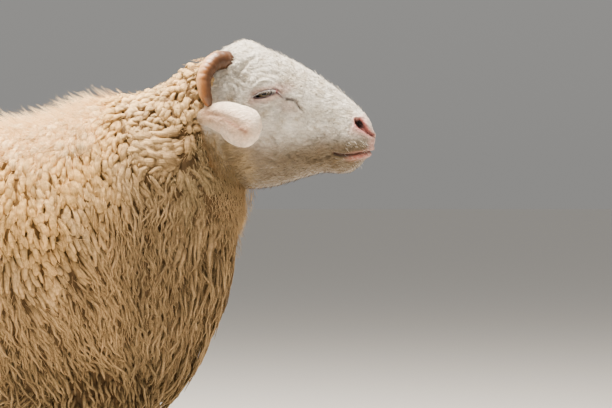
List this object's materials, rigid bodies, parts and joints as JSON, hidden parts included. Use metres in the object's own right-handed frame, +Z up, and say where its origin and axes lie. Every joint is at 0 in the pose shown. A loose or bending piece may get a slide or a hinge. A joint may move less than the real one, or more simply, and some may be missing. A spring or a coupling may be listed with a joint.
{
  "type": "sheep model",
  "caption": "Life-size still model of a young horned ram standing in a curly cream fleece, head level and turned forward, with a bare white face.",
  "frame": {"origin": "on the floor under the middle of the animal, between the four feet's outer ends", "axes": "+X towards the nose, +Y to the animal's left, +Z up; the eight claws stand on z = 0"},
  "size_m": [1.0088, 0.3455, 0.7657],
  "materials": {
    "fleece": "matt curly wool, cream at the tips and ochre-brown between the locks",
    "face": "short flat white hair, matt",
    "ear": "very short white hair over pink skin",
    "leg_hair": "short flat off-white hair, matt",
    "horn": "ridged brown horn with a low sheen",
    "hoof": "dark brown horn, dull",
    "eye": "wet dark brown eye"
  },
  "bodies": {
    "root": {"head": "face", "eye_left": "eye", "eye_right": "eye", "ear_left": "ear", "ear_right": "ear", "horn_left": "horn", "horn_right": "horn", "neck": "fleece", "torso": "fleece", "tail": "fleece", "foreleg_upper_left": "fleece", "foreleg_lower_left": "leg_hair", "foreleg_upper_right": "fleece", "foreleg_lower_right": "leg_hair", "hindleg_upper_left": "fleece", "hindleg_lower_left": "leg_hair", "hindleg_upper_right": "fleece", "hindleg_lower_right": "leg_hair", "foreleg_claw_outer_left": "hoof", "foreleg_claw_inner_left": "hoof", "foreleg_claw_outer_right": "hoof", "foreleg_claw_inner_right": "hoof", "hindleg_claw_outer_left": "hoof", "hindleg_claw_inner_left": "hoof", "hindleg_claw_outer_right": "hoof", "hindleg_claw_inner_right": "hoof"}
  },
  "joints": []
}
